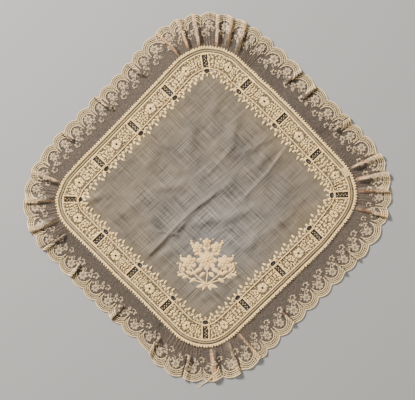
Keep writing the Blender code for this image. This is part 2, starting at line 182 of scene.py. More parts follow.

# Pleats: run at the scalloped edge, width tucked under, side that lies on top, slant, and the
# share of the lace's width at which each begins. Those that begin further out show as slits,
# with painted shade beside their folds.
Pleat = namedtuple("Pleat", "run tuck lean slant deep")
PLEATS = [Pleat(*row) for row in (
    (10.0, 2.8, 1, -6, 0.0), (30.0, 3.0, 1, 2, 0.0), (43.0, 3.2, 1, 0, 0.0), (62.5, 2.8, 1, 0, 0.0),
    (74.0, 2.8, -1, 0, 0.0), (85.5, 3.0, -1, -6, 0.0), (165.0, 3.2, -1, 5, 0.35),
    (192.4, 3.4, -1, 0, 0.35), (253.5, 4.4, 1, 9, 0.38), (304.0, 3.4, 1, 4, 0.0),
    (319.0, 3.4, 1, 3, 0.0), (332.0, 2.8, -1, 0, 0.0), (352.0, 3.0, -1, 0, 0.0),
    (397.0, 2.6, -1, -5, 0.5), (421.0, 2.6, 1, 0, 0.5), (515.0, 3.2, 1, 0, 0.38),
    (578.0, 3.6, 1, 2, 0.0), (597.0, 3.2, 1, 5, 0.0), (615.0, 4.2, -1, -2, 0.0),
    (638.0, 2.8, -1, -2, 0.3), (671.0, 3.8, -1, -12, 0.35), (738.5, 3.6, 1, -2, 0.42),
    (814.5, 3.0, 1, -2, 0.48), (864.0, 2.6, -1, 5, 0.15), (880.0, 3.4, 1, 2, 0.0),
    (900.0, 3.6, 1, 0, 0.0), (921.0, 3.2, -1, -2, 0.0), (972.0, 2.6, 1, 0, 0.5),
    (1035.0, 3.6, 1, -2, 0.35), (1095.0, 3.6, 1, -2, 0.35),
)]
PLEAT_REACH = 1.5
PLEAT_EASE = 3.0
SLANT_REACH = 15.0
LAYER_STEP = 1.3
STAND_RISE = 0.8

# How the folds' peach and the painted shade in the slits beside them fade
PEACH_FADE = 0.8
PEACH_START = 0.2
SLIT_TINT = 0.3
SLIT_HASTE = 1.8
SLIT_SHADE_AWAY = 0.6
SLIT_SHADE_REACH = 0.9
FAINT_SLIT_SHADE = 0.3

# Shares of the frill's width, and how far each pleat has risen, stood on edge and folded there
FRILL_SHARES = (0.0, 0.26, 0.44, 0.65, 1.2)
FRILL_STATES = (
    (0.0, 1.0, 1.0, 1.0, 1.0),
    (0.0, 1.0, 1.0, 0.0, 0.0),
    (0.0, 0.0, 0.38, 1.0, 1.0),
)

# Colours, as 8-bit sRGB
FLOOR_RGB = (142, 139, 135)
LINEN_RGB = (97, 86, 73)
COOL_RGB = (92, 88, 84)
STAIN_RGB = (107, 91, 60)
BORDER_RGB = (93, 77, 56)
IVORY_RGB = (254, 210, 143)
POSY_RGB = (244, 200, 134)
BEIGE_RGB = (158, 136, 99)
MOTIF_RGB = (226, 196, 145)
FLOWER_RGB = (181, 157, 122)
NET_RGB = (77, 66, 55)
PLEAT_RGB = (158, 117, 83)
FOLD_RGB = (140, 120, 92)
# Near-black brown: painted shade in the window ladders, eyelet rings and rosette hearts
PAINTED_SHADE_RGB = (42, 33, 23)

# The linen's slubs in metres, its stained rim, and its greyer part below its middle
SLUB_WIDE = 0.0007
SLUB_LONG = 0.04
STAIN_REACH = 55.0
GREY_PLACE = (14.0, -46.0)
GREY_REACH = 60.0

# Where the embroidered border ends, and what is worked in the hem: each cord's distance out from
# its edge, width, height and ribs, and the join on the right-hand side
INNER_CORD = 28.6
BEIGE_CORD = (-5.6, 2.2, 0.6, 0.3)
CREAM_CORDS = ((-1.9, 2.0, 0.7, 0.15), (-8.6, 1.9, 0.7, 0.15))
HEM_STITCH = 0.7
TOOTH_PITCH = 3.5
TOOTH_LONG = 3.0
TOOTH_WIDE = 3.1
JOIN_RUN = 294.5
JOIN_PITCH = 1.9
JOIN_STITCHES = 7

# The border's dots and sprigs, the lace's sheet, net, arches and flowers, and its loose ends
GROUND_PITCH = 2.05
GROUND_ROWS = 9
GROUND_START = 10.7
SPRIG_PITCH = 14.2
SHEET_PITCH = 1.15
SHEET_ROWS = 21
NET_PITCH = 2.0
NET_SLANT = 0.62
EDGE_BARS = 14
ARCH_WIDE = 11.0
ARCH_FOOT = 25.5
ARCH_HIGH = 11.2
FLOWER_OUT = 29.2
SPRAY_OUT = 15.0
LOOSE_ENDS = (
    (((6.0, -231.0), (1.4, -236.6), (-3.0, -240.0), (-8.0, -244.5), (-12.0, -247.0)), 0.9),
    (((7.0, -232.0), (0.0, -238.4), (-5.0, -241.2), (-9.5, -241.0)), 0.8),
)


def unit(vector):
    """The same direction, one long."""
    return vector / np.linalg.norm(vector)


def path_length(path):
    """How far along a path each of its points lies."""
    return np.concatenate([[0], np.cumsum(np.linalg.norm(np.diff(path, axis=0), axis=1))])


def corner_curve(before, corner, after):
    """Points along one rounded corner of the hem."""
    here = np.array([corner.x, corner.y])
    arriving = unit(here - np.array([before.x, before.y]))
    leaving = unit(np.array([after.x, after.y]) - here)
    turn = math.acos(arriving @ leaving)
    setback = corner.radius * math.tan(turn / 2)
    inward = np.array([arriving[1], -arriving[0]])
    centre = here - arriving * setback + inward * corner.radius
    angles = np.linspace(0, turn, ARC_STEPS + 1)[:, None]
    return centre + corner.radius * (arriving * np.sin(angles) - inward * np.cos(angles))


def even_line():
    """The hem's even line as a closed run of points, and the run at each point."""
    curves = []
    for i, corner in enumerate(CORNERS):
        after = CORNERS[(i + 1) % len(CORNERS)]
        curves.append(corner_curve(CORNERS[i - 1], corner, after))
    points = np.concatenate(curves + [curves[0][:1]])
    return points, path_length(points)


LINE_POINTS, LINE_RUNS = even_line()
HEM_RUN = LINE_RUNS[-1]


def smooth(part):
    """A share from 0 to 1 with soft ends."""
    return part * part * (3 - 2 * part)


def eased(x, xs, ys):
    """A value between a table's rows, with soft ends to each step."""
    xs = np.asarray(xs)
    ys = np.asarray(ys)
    index = np.clip(np.searchsorted(xs, x, side="right") - 1, 0, len(xs) - 2)
    part = np.clip((x - xs[index]) / (xs[index + 1] - xs[index]), 0, 1)
    return ys[index] + smooth(part) * (ys[index + 1] - ys[index])


def ring_value(table, run):
    """The second column of a closed table at a run, eased from row to row."""
    runs, values = np.array(table, dtype=float).T
    runs = np.concatenate([[runs[-1] - HEM_RUN], runs, [runs[0] + HEM_RUN]])
    values = np.concatenate([values[-1:], values, values[:1]])
    return eased(np.mod(run, HEM_RUN), runs, values)


def line_point(run):
    """The even line's points at some runs."""
    where = np.mod(run, HEM_RUN)
    x = np.interp(where, LINE_RUNS, LINE_POINTS[:, 0])
    y = np.interp(where, LINE_RUNS, LINE_POINTS[:, 1])
    return np.stack([x, y], axis=-1)


def line_tangent(run):
    """The even line's directions at some runs."""
    step = line_point(run + TANGENT_STEP) - line_point(run - TANGENT_STEP)
    return step / np.linalg.norm(step, axis=-1, keepdims=True)


def beside(run, out):
    """Points at a distance outside the even line."""
    tangent = line_tangent(run)
    outward = np.stack([-tangent[..., 1], tangent[..., 0]], axis=-1)
    return line_point(run) + outward * np.asarray(out)[..., None]


def in_cloth(run, inset):
    """Points at a distance inside the linen's own edge."""
    run = np.asarray(run, dtype=float)
    return beside(run, ring_value(HEM_BULGES, run) - inset)


def hem_ring(count, inset):
    """Evenly spaced points all round the linen, at a distance inside its edge."""
    return in_cloth(np.linspace(0, HEM_RUN, count, endpoint=False), inset)


def design_shift():
    """How far the design's own centre lies from the frame's origin."""
    edge = hem_ring(HEM_EDGE_STEPS, 0.0)
    low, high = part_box("linen_centre")
    middle = (edge.min(axis=0) + edge.max(axis=0)) / 2
    return middle - (np.array(low)[:2] + np.array(high)[:2]) / 2 / MM


SHIFT = design_shift()


def ridge_height(spot, rows):
    """The height of the highest of some soft ridges, each steeper on one side."""
    rise = np.zeros(spot.shape[:-1])
    for row in rows:
        start = np.array([row.x0, row.y0])
        way = np.array([row.x1, row.y1]) - start
        length = np.linalg.norm(way)
        along = unit(way)
        across = np.array([along[1], -along[0]])
        offset = spot - start
        part = offset @ along
        beyond = np.maximum(0, np.maximum(-part, part - length)) / (2 * row.reach)
        side = row.lean * (offset @ across) / row.reach
        lean = side * np.where(side > 0, 1 + CREASE_LEAN, 1 - CREASE_LEAN)
        rise = np.maximum(rise, row.rise * np.exp(-lean ** 2 - beyond ** 2))
    return rise


def turned(spot, degrees):
    """Places measured along a direction and across it."""
    angle = math.radians(degrees)
    x, y = spot[..., 0], spot[..., 1]
    return x * math.cos(angle) + y * math.sin(angle), y * math.cos(angle) - x * math.sin(angle)


def linen_height(spot):
    """Height of the linen's middle over the surface, with its creases and swells."""
    spot = np.asarray(spot, dtype=float)
    rise = ridge_height(spot, CREASES) + ridge_height(spot, NIPS)
    for swell in SWELLS:
        along, across = turned(spot - np.array([swell.x, swell.y]), swell.turn)
        soft = np.exp(-(along / swell.long) ** 2 - (across / swell.wide) ** 2)
        rise = rise + SWELL_GAIN * swell.rise * soft
    for wave in COCKLES:
        along, across = turned(spot, wave.turn)
        bent = along + COCKLE_BEND * np.sin(across / (0.9 * wave.length) + wave.phase)
        rise = rise + COCKLE_GAIN * wave.rise * np.sin(2 * math.pi * bent / wave.length + wave.phase)
    return LINEN_MID + rise


def scallop_table():
    """Runs at the ends of the stretches, and the scallops counted up to each."""
    runs, scallops = np.array(STRETCHES, dtype=float).T
    return np.append(runs, runs[0] + HEM_RUN), np.concatenate([[0.0], np.cumsum(scallops)])


STRETCH_RUNS, STRETCH_COUNTS = scallop_table()
SCALLOPS = int(STRETCH_COUNTS[-1])
STRIP_LONG = SCALLOPS * SCALLOP_FLAT


def fold_section(tuck, lean):
    """One pleat from side to side: flat places, shifts, rises, and what stands up."""
    bend = LAYER_STEP / 2
    half = PLEAT_REACH * tuck
    edge = tuck / 2
    path = np.array([
        (-half, 0, 0), (edge - bend, 0, 0), (edge, bend, 0), (edge - bend, 2 * bend, 0),
        (bend - edge, 2 * bend, 1), (-edge, 3 * bend, 1), (bend - edge, 4 * bend, 1),
        (edge, 4 * bend, 1), (half, 0, 0),
    ])
    if lean < 0:
        path = path[::-1] * np.array([-1, 1, 1])
    steps = np.linalg.norm(np.diff(path[:, :2], axis=0), axis=1)
    share = np.concatenate([[0.0], np.cumsum(steps)]) / steps.sum()
    flat = (2 * share - 1) * half
    return flat, path[:, 0] - flat, path[:, 1], path[:, 2]


def scallop_edge(along):
    """How wide the lace strip is at a place along it."""
    phase = np.mod(along / SCALLOP_FLAT, 1.0)
    return STRIP_WIDE - NOTCH_DEEP * (2 * phase - 1) ** 2


def lace_point(along, out):
    """The lace's middle at a place along the strip and out from its foot, its doubling with a painted
    highlight on pucker crests, and the painted shade beside its slits.
    """
    scallop = np.mod(along / SCALLOP_FLAT, SCALLOPS)
    share = np.maximum(out, 0) / STRIP_WIDE
    flat = np.interp(scallop, STRETCH_COUNTS, STRETCH_RUNS)
    pull, shift, folds, covered, doubled_and_crest_light, slit_shade = (np.zeros_like(flat) for _ in range(6))
    for pleat in PLEATS:
        away = np.mod(flat - pleat.run + HEM_RUN / 2, HEM_RUN) - HEM_RUN / 2
        pull += pleat.slant * np.exp(-(away / SLANT_REACH) ** 2)
        half = PLEAT_REACH * pleat.tuck
        covered = np.maximum(covered, smooth(np.clip(1 - (np.abs(away) - half) / PLEAT_EASE, 0, 1)))
        inside = np.abs(away) < half
        if inside.any():
            places, shifts, rises, stands = fold_section(pleat.tuck, pleat.lean)
            # Pleats that reach the hem get only a faint painted shade beside their folds
            haste, tint, dark = (SLIT_HASTE, SLIT_TINT, 1) if pleat.deep else (1, 1, FAINT_SLIT_SHADE)
            inner = share[inside]
            grown = (inner - pleat.deep) / (1 - pleat.deep) * haste
            risen, stood, folded = (eased(grown, FRILL_SHARES, states) for states in FRILL_STATES)
            standing = np.interp(away[inside], places, stands)
            shift[inside] = np.interp(away[inside], places, shifts) * folded
            folds[inside] = np.interp(away[inside], places, rises) * risen + STAND_RISE * standing * stood
            lying = away[inside] + shift[inside]
            narrow = pleat.tuck / 2 * (0.25 + 0.55 * np.minimum(1, inner))
            peach = np.clip(1.3 - (np.abs(lying) - narrow) / PEACH_FADE, 0, 1)
            doubled_and_crest_light[inside] = peach * np.clip(grown / PEACH_START, 0, 1) * tint
            past = (lying * pleat.lean + pleat.tuck / 2 + SLIT_SHADE_AWAY) / SLIT_SHADE_REACH
            # Painted shade: a dark line on the lace just beside each pleat's folded edge
            slit_shade[inside] = np.exp(-past ** 2) * (standing < 0.5) * risen * dark
    run = flat - pull * (1 - share) + shift
    foot = ring_value(HEM_BULGES, run) + SEAM_GAP
    spot = beside(run, foot + share * (ring_value(REACHES, flat) - foot))
    ahead = np.interp(np.mod(scallop + SCALLOP_STEP, SCALLOPS), STRETCH_COUNTS, STRETCH_RUNS)
    spacing = np.clip(np.abs(ahead - flat) / SCALLOP_STEP, LEAST_SPACING, SCALLOP_FLAT)
    fullness = np.clip(SCALLOP_FLAT / spacing - 1, 0, 1)
    wave = RIPPLE_RISE * fullness * np.sin(math.pi * scallop) ** 2 * share
    gather = np.sin(2 * math.pi * along / 5.1) + 0.5 * np.sin(2 * math.pi * along / 3.3 + 1.0)
    pucker = PUCKER_RISE * fullness * np.exp(-share / PUCKER_REACH) * gather * (share > 0.02)
    height = LACE_MID + folds + (wave + pucker) * (1 - covered)
    # Painted highlight: the puckers' crests are coloured lighter, as if lit, on top of the real doubling
    doubled_and_crest_light = np.clip(doubled_and_crest_light + PUCKER_HIGHLIGHT * np.maximum(pucker, 0), 0, 1)
    return np.column_stack([spot, height]), np.column_stack([doubled_and_crest_light, slit_shade])


def pleat_places():
    """Places along the strip where the pleats' folds need closer points."""
    steps = np.linspace(-1, 1, 25)
    runs = np.concatenate([pleat.run + PLEAT_REACH * pleat.tuck * steps for pleat in PLEATS])
    runs = np.mod(runs - STRETCH_RUNS[0], HEM_RUN) + STRETCH_RUNS[0]
    return np.interp(runs, STRETCH_RUNS, STRETCH_COUNTS) * SCALLOP_FLAT


def on_lace(points):
    """Places on the lace: along the strip, out from its foot, and high off its face."""
    along, out, high = points.T
    step = 0.2
    here = lace_point(along, out)[0]
    if np.any(high):
        side = lace_point(along + step, out)[0] - here
        outer = lace_point(along, out + step)[0] - here
        normal = np.cross(side, outer)
        normal /= np.maximum(np.linalg.norm(normal, axis=1, keepdims=True), 1e-9)
        here = here + normal * high[:, None]
    return here


def lace_cover(points):
    """How doubled up the lace is with a painted highlight on pucker crests, how near its rim, and how much
    painted shade lies beside a pleat's slit, from 0 to 1.
    """
    doubled_and_crest_light, slit_shade = lace_point(points[:, 0], points[:, 1])[1].T
    rim = np.clip(1 - (scallop_edge(points[:, 0]) - points[:, 1]) / RIM_WIDE, 0, 1)
    return np.column_stack([doubled_and_crest_light, rim, slit_shade])


def on_linen(points):
    """Places on the linen: across, up the cloth, and high off its face."""
    spot = points[:, :2]
    return np.column_stack([spot, linen_height(spot) + points[:, 2]])


def on_border(points):
    """Places on the border: run, out from the hem's edge, and high off the cloth's face."""
    run, out, high = points.T
    spot = in_cloth(run, -out)
    return np.column_stack([spot, linen_height(spot) + high])


class Pile:
    """Grids of points gathered into one piece, with the stitches' own measures."""

    def __init__(self):
        self.points = []
        self.faces = []
        self.measures = []
        self.count = 0

    def add(self, grid, measure):
        """One grid of rows and columns of points, facing up."""
        rows, cols = grid.shape[:2]
        index = np.arange(rows * cols).reshape(rows, cols) + self.count
        quads = [index[:-1, :-1], index[1:, :-1], index[1:, 1:], index[:-1, 1:]]
        self.points.append(grid.reshape(-1, 3))
        self.measures.append(measure.reshape(-1, 2))
        self.faces.append(np.stack(quads, axis=-1).reshape(-1, 4))
        self.count += rows * cols

    def stamp(self, shapes, spot, along=(1.0, 0.0)):
        """Shapes drawn about their own centre, set down at a spot and turned."""
        along = np.array(along)
        across = np.array([-along[1], along[0]])
        for grid, measure in shapes:
            flat = grid[..., :1] * along + grid[..., 1:2] * across + np.array(spot)
            self.add(np.concatenate([flat, grid[..., 2:]], axis=-1), measure)

    def piece(self, name, chart, material, tint=None):
        """The joined mesh, laid on its cloth by the chart."""
        drawn = np.concatenate(self.points)
        faces = np.concatenate(self.faces)
        measures = np.concatenate(self.measures)
        shares = None if tint is None else tint(drawn)
        return make_piece(name, chart(drawn), faces, measures, material, shares)


def make_piece(name, points, faces, measures, material, shares=None):
    """A smooth-shaded object from millimetre points, riding on the cloth."""
    mesh = bpy.data.meshes.new(name)
    placed = (points - np.array([SHIFT[0], SHIFT[1], 0.0])) * MM
    mesh.from_pydata(placed.tolist(), [], faces.tolist())
    layer = mesh.uv_layers.new(name="stitch")
    corners = np.empty(len(mesh.loops), dtype=np.int32)
    mesh.loops.foreach_get("vertex_index", corners)
    layer.data.foreach_set("uv", measures[corners].astype(np.float32).ravel())
    if shares is not None:
        tints = mesh.color_attributes.new("tint", "FLOAT_COLOR", "POINT")
        rgba = np.ones((len(points), 4))
        shares = np.reshape(shares, (len(points), -1))
        rgba[:, :shares.shape[1]] = shares
        tints.data.foreach_set("color", rgba.astype(np.float32).ravel())
    mesh.shade_smooth()
    mesh.materials.append(material)
    item = bpy.data.objects.new(name, mesh)
    bpy.context.scene.collection.objects.link(item)
    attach(item, "root")
    return item


def leaf(x, y, turn, long, wide, bend=0.0, puff=0.5, rows=8, blunt=0.8, fat=0.85):
    """A padded satin-stitch leaf from its foot at x, y, turned by degrees."""
    t = np.linspace(0, 1, rows)[:, None]
    c = np.linspace(-1, 1, 5)[None, :]
    half = wide / 2 * np.sin(math.pi * t ** fat) ** blunt
    angle = math.radians(turn)
    a = t * long + 0 * c
    b = bend * 4 * t * (1 - t) + c * half
    h = puff * np.sqrt(np.maximum(0, 1 - c ** 2)) * np.minimum(1, np.sin(math.pi * t) * 1.8) + 0.05
    px = x + a * math.cos(angle) - b * math.sin(angle)
    py = y + a * math.sin(angle) + b * math.cos(angle)
    measure = np.stack([a, c * half], axis=-1)
    return np.stack([px, py, h + 0 * a], axis=-1), measure


def petal(x, y, far, turn, long, wide, **look):
    """A leaf that points away from a middle, from some way out."""
    angle = math.radians(turn)
    return leaf(x + far * math.cos(angle), y + far * math.sin(angle), turn, long, wide, **look)


def dot(x, y, radius, puff=0.5, steps=8):
    """A small padded dot."""
    ring = np.linspace(0, 2 * math.pi, steps + 1)[None, :]
    r = np.array([0.0, 0.7, 1.0])[::-1, None] * radius
    h = np.array([1.0, 0.75, 0.0])[::-1, None] * puff + 0.05
    grid = np.stack([x + r * np.cos(ring), y + r * np.sin(ring), h + 0 * ring], axis=-1)
    measure = np.stack([r + 0 * ring, ring * radius + 0 * r], axis=-1)
    return grid[::-1, ::-1], measure[::-1, ::-1]


def cord(path, wide, high=0.4, base=0.0, ribs=0.0, cols=5):
    """A raised cord along a path, swelling at each of its overcast stitches."""
    path = np.asarray(path, dtype=float)
    step = np.gradient(path, axis=0)
    step /= np.maximum(np.linalg.norm(step, axis=1, keepdims=True), 1e-9)
    side = np.column_stack([-step[:, 1], step[:, 0]])
    length = path_length(path)
    swell = 1 - ribs * (np.arange(len(path)) % 2)
    c = np.linspace(-1, 1, cols)
    arch = np.sqrt(np.maximum(0, 1 - c ** 2))
    spread = (wide / 2 * swell)[:, None, None] * c[None, :, None] * side[:, None, :]
    flat = path[:, None, :] + spread
    h = base + high * swell[:, None] * arch[None, :]
    measure = np.stack([length[:, None] + 0 * h, c[None, :] * wide / 2 + 0 * h], axis=-1)
    return np.concatenate([flat, h[..., None]], axis=-1), measure


def level_cord(long, pitch, out, wide, high, ribs):
    """A cord all the way round at one distance out, with a stitch at each pitch."""
    along = np.linspace(0, long, int(long / pitch) + 1)
    return cord(np.column_stack([along, np.full_like(along, out)]), wide, high, ribs=ribs)


def curve(points, count):
    """A smooth curve through a few points."""
    points = np.asarray(points, dtype=float)
    ends = np.vstack([2 * points[0] - points[1], points, 2 * points[-1] - points[-2]])
    t = np.linspace(0, len(points) - 1 - 1e-9, count)
    i = t.astype(int)
    f = (t - i)[:, None]
    a, b, c, d = ends[i], ends[i + 1], ends[i + 2], ends[i + 3]
    return 0.5 * (2 * b + (c - a) * f + (2 * a - 5 * b + 4 * c - d) * f ** 2
                  + (3 * b - a - 3 * c + d) * f ** 3)


def linear(rgb):
    """An 8-bit sRGB colour as linear values with full alpha."""
    parts = []
    for value in rgb:
        share = value / 255
        parts.append(share / 12.92 if share <= 0.04045 else ((share + 0.055) / 1.055) ** 2.4)
    return (*parts, 1.0)


def shade(rgb, factor):
    """The same colour, lighter or darker."""
    return tuple(min(255, value * factor) for value in rgb)


# Blender's wave texture has one band in this length at scale 1
BAND_UNIT = math.pi / 10


class Cloth:
    """A Principled material and short ways to add nodes to it."""

    def __init__(self, name, roughness, sheen=0.0, alpha=1.0):
        self.material = bpy.data.materials.new(name)
        self.material.use_nodes = True
        self.tree = self.material.node_tree
        self.shader = self.tree.nodes["Principled BSDF"]
        self.shader.inputs["Roughness"].default_value = roughness
        self.shader.inputs["Sheen Weight"].default_value = sheen
        self.shader.inputs["Specular IOR Level"].default_value = 0.2
        self.shader.inputs["Alpha"].default_value = alpha

    def feed(self, socket, value):
        """Sets a socket to a value, or joins another socket to it."""
        if isinstance(value, bpy.types.NodeSocket):
            self.tree.links.new(value, socket)
        else:
            socket.default_value = value

    def node(self, kind, out, **values):
        """What comes out of a node whose sockets and settings are given by name."""
        made = self.tree.nodes.new("ShaderNode" + kind)
        for key, value in values.items():
            if key in made.inputs:
                self.feed(made.inputs[key], value)
            else:
                setattr(made, key, value)
        return made.outputs[out]

    def place(self, source, turn=0.0, cells=(1, 1, 1)):
        """Texture coordinates, turned, and counted in cells of a size."""
        return self.node("Mapping", "Vector", vector_type="TEXTURE", Scale=cells,
                         Rotation=(0, 0, math.radians(turn)), Vector=self.node("TexCoord", source))

    def tint(self, channel="Red"):
        """A share kept at each of the mesh's points."""
        colour = self.node("VertexColor", "Color", layer_name="tint")
        return self.node("SeparateColor", channel, Color=colour)

    def noise(self, scale, detail, where=None):
        """A noise value, at the object's own places if no others are given."""
        where = self.place("Object") if where is None else where
        return self.node("TexNoise", "Fac", Vector=where, Scale=scale, Detail=detail)

    def ramp(self, value, dark, light, low=0.35, high=0.65):
        """A colour between two, by a value."""
        made = self.tree.nodes.new("ShaderNodeValToRGB")
        for element, place, rgb in zip(made.color_ramp.elements, (low, high), (dark, light)):
            element.position = place
            element.color = linear(rgb)
        self.feed(made.inputs["Fac"], value)
        return made.outputs["Color"]

    def shades(self, value, rgb, dark, light, low=0.35, high=0.65):
        """A colour made darker or lighter, by a value."""
        return self.ramp(value, shade(rgb, dark), shade(rgb, light), low, high)

    def mix(self, first, second, share):
        """Two colours mixed by a share."""
        made = self.tree.nodes.new("ShaderNodeMix")
        made.data_type = "RGBA"
        for index, value in ((0, share), (6, first), (7, second)):
            self.feed(made.inputs[index], value)
        return made.outputs[2]

    def math(self, kind, *values):
        """One sum of values or sockets."""
        made = self.tree.nodes.new("ShaderNodeMath")
        made.operation = kind
        for socket, value in zip(made.inputs, values):
            self.feed(socket, value)
        return made.outputs[0]

    def bands(self, where, scale, direction="X", distortion=0.0):
        """Even bands at a place."""
        return self.node("TexWave", "Fac", bands_direction=direction, Scale=scale,
                         Distortion=distortion, Vector=where)

    def finish(self, colour, height, strength, distance=0.0002):
        """Sets the colour and the bump."""
        normal = self.node("Bump", "Normal", Strength=strength, Distance=distance, Height=height)
        self.feed(self.shader.inputs["Base Color"], colour)
        self.feed(self.shader.inputs["Normal"], normal)
        return self.material


def linen_cloth_material():
    """Fine plain-weave linen with slubs both ways, aged warmer towards its browner border."""
    cloth = Cloth("linen_weave", 0.85, sheen=0.1, alpha=0.95)
    warp = cloth.noise(1.0, 0.0, cloth.place("Object", 45.5, (SLUB_WIDE, SLUB_LONG, 1)))
    weft = cloth.noise(1.0, 0.0, cloth.place("Object", 43.5, (SLUB_LONG, SLUB_WIDE, 1)))
    patch = cloth.noise(60.0, 1.0)
    threads = cloth.math("MULTIPLY_ADD", cloth.math("SUBTRACT", warp, weft), patch, weft)
    base = cloth.shades(threads, LINEN_RGB, 0.60, 1.36, 0.36, 0.64)
    blotch = cloth.noise(24.0, 3.0)
    cool = cloth.ramp(blotch, shade(COOL_RGB, 0.80), shade(LINEN_RGB, 1.18), 0.34, 0.62)
    plain = cloth.mix(base, cool, 0.4)
    warm = cloth.math("MULTIPLY", cloth.tint("Green"), cloth.math("MULTIPLY", cloth.noise(22.0, 2.0), 1.3))
    stained = cloth.mix(base, cloth.shades(blotch, STAIN_RGB, 0.9, 1.1, 0.3, 0.7), 0.6)
    plain = cloth.mix(plain, stained, warm)
    grey = cloth.shades(threads, COOL_RGB, 0.80, 1.56, 0.36, 0.64)
    plain = cloth.mix(plain, grey, cloth.math("MULTIPLY", cloth.tint("Blue"), 0.6))
    drawn = cloth.shades(cloth.noise(420.0, 2.0), BORDER_RGB, 0.72, 1.15)
    colour = cloth.mix(plain, drawn, cloth.tint("Red"))
    over = cloth.bands(cloth.place("Object", 45), 700.0, "X")
    under = cloth.bands(cloth.place("Object", 45), 700.0, "Y")
    weave = cloth.math("ADD", cloth.math("MULTIPLY", over, under), threads)
    return cloth.finish(colour, weave, 0.35)


def stitch_material(name, rgb, pitch=0.55, roughness=0.6, painted_slits=False):
    """Cotton laid side by side across each shape's length, with painted shade beside the lace's slits if
    asked.
    """
    cloth = Cloth(name, roughness, sheen=0.08)
    stitches = cloth.bands(cloth.place("UV"), BAND_UNIT / pitch, "X", 0.4)
    worn = cloth.noise(90.0, 3.0)
    base = cloth.shades(stitches, rgb, 0.84, 1.02, 0.05, 0.5)
    colour = cloth.mix(base, cloth.shades(worn, rgb, 0.9, 1.04), 0.35)
    if painted_slits:
        colour = cloth.mix(colour, slit_shade_colour(cloth, worn), cloth.tint("Blue"))
    return cloth.finish(colour, stitches, 0.8, 0.0003)


def slit_shade_colour(cloth, value):
    """Painted shade on the lace beside a pleat's folded edge."""
    return cloth.shades(value, NET_RGB, 0.09, 0.17)


def lace_colours(cloth, value, low, high):
    """The lace's brown thread, peach or beige where the cloth is doubled up or carries the painted
    highlight on a pucker's crest, and painted shade beside the pleats' slits.
    """
    single, peach, beige = (cloth.shades(value, rgb, low, high) for rgb in (NET_RGB, PLEAT_RGB, FOLD_RGB))
    patch = cloth.ramp(cloth.noise(22.0, 1.0), (0, 0, 0), (255, 255, 255), 0.4, 0.6)
    lying = cloth.mix(single, cloth.mix(peach, beige, patch), cloth.tint())
    lying = cloth.mix(lying, cloth.shades(value, MOTIF_RGB, 0.85, 1.0, 0.3, 0.7), cloth.tint("Green"))
    return cloth.mix(lying, slit_shade_colour(cloth, value), cloth.tint("Blue"))


def veil_material():
    """The lace's finest ground threads, too fine to model one by one."""
    cloth = Cloth("net_veil", 0.9)
    mottle = cloth.noise(380.0, 3.0)
    dense = cloth.math("MULTIPLY_ADD", mottle, 0.9, 0.22)
    cover = cloth.math("MULTIPLY_ADD", cloth.tint(), 0.35, dense)
    # Where painted shade lies beside a slit, the veil is made opaque so the dark shows
    cloth.feed(cloth.shader.inputs["Alpha"], cloth.math("MAXIMUM", cover, cloth.tint("Blue")))
    return cloth.finish(lace_colours(cloth, mottle, 0.8, 1.25), mottle, 0.3)


def thread_material():
    """Fine two-ply cotton thread of the net."""
    cloth = Cloth("net_thread", 0.8, sheen=0.1)
    twist = cloth.noise(600.0, 2.0)
    return cloth.finish(lace_colours(cloth, twist, 0.9, 1.35), twist, 0.3)


def local_frame(run):
    """The border's direction and outward side at a run."""
    along = line_tangent(run)
    return along, np.array([-along[1], along[0]])


def eyelet_rim(run, grow=0.0):
    """An oval eyelet's rim, grown by a distance."""
    along, outward = local_frame(run)
    angles = 2 * math.pi * np.arange(EYELET_POINTS) / EYELET_POINTS
    a = np.cos(angles) * (EYELET_LONG / 2 + grow)
    b = -np.sin(angles) * (EYELET_WIDE / 2 + grow)
    return in_cloth(run, EYELET_INSET) + a[:, None] * along + b[:, None] * outward


def window_rim(run):
    """The four corners of a drawn-thread window."""
    along, outward = local_frame(run)
    corners = ((-WINDOW_HALF, WINDOW_TALL), (WINDOW_HALF, WINDOW_TALL),
               (WINDOW_HALF, -WINDOW_TALL), (-WINDOW_HALF, -WINDOW_TALL))
    middle = in_cloth(run, WINDOW_MIDDLE)
    return np.array([middle + a * along + b * outward for a, b in corners])


def is_inside(polygon, points):
    """Which points lie inside a polygon."""
    inside = np.zeros(len(points), dtype=bool)
    for a, b in zip(polygon, np.roll(polygon, -1, axis=0)):
        crosses = (a[1] > points[:, 1]) != (b[1] > points[:, 1])
        rise = b[1] - a[1]
        if rise:
            left = points[:, 0] < a[0] + (points[:, 1] - a[1]) * (b[0] - a[0]) / rise
            inside ^= crosses & left
    return inside


def nearest(points, spots):
    """How far each spot lies from the nearest of some points."""
    tree = KDTree(len(points))
    for i, p in enumerate(points):
        tree.insert((*p, 0), i)
    tree.balance()
    return np.array([tree.find((*p, 0))[2] for p in spots])


def linen_points(edge, holes):
    """Points over the linen and clear of its holes, with the inner cord's line among them."""
    low = edge.min(axis=0)
    high = edge.max(axis=0)
    across = np.arange(low[0], high[0], LINEN_GRID)
    rows = np.arange(low[1], high[1], LINEN_GRID * math.sqrt(3) / 2)
    grid = np.array([(x + (j % 2) * LINEN_GRID / 2, y) for j, y in enumerate(rows) for x in across])
    grid = grid[is_inside(edge, grid)]
    for rim in holes:
        near = np.linalg.norm(grid - rim.mean(axis=0), axis=1) < WINDOW_INNER
        near[near] = is_inside(rim, grid[near])
        grid = grid[~near]
    ring = hem_ring(CORD_POINTS, INNER_CORD)
    apart = np.array([np.linalg.norm(ring - p, axis=1).min() for p in grid])
    grid = np.concatenate([ring, grid[apart > POINT_SPACE]])
    return grid[nearest(np.concatenate([edge, *holes]), grid) > POINT_SPACE * 0.8]


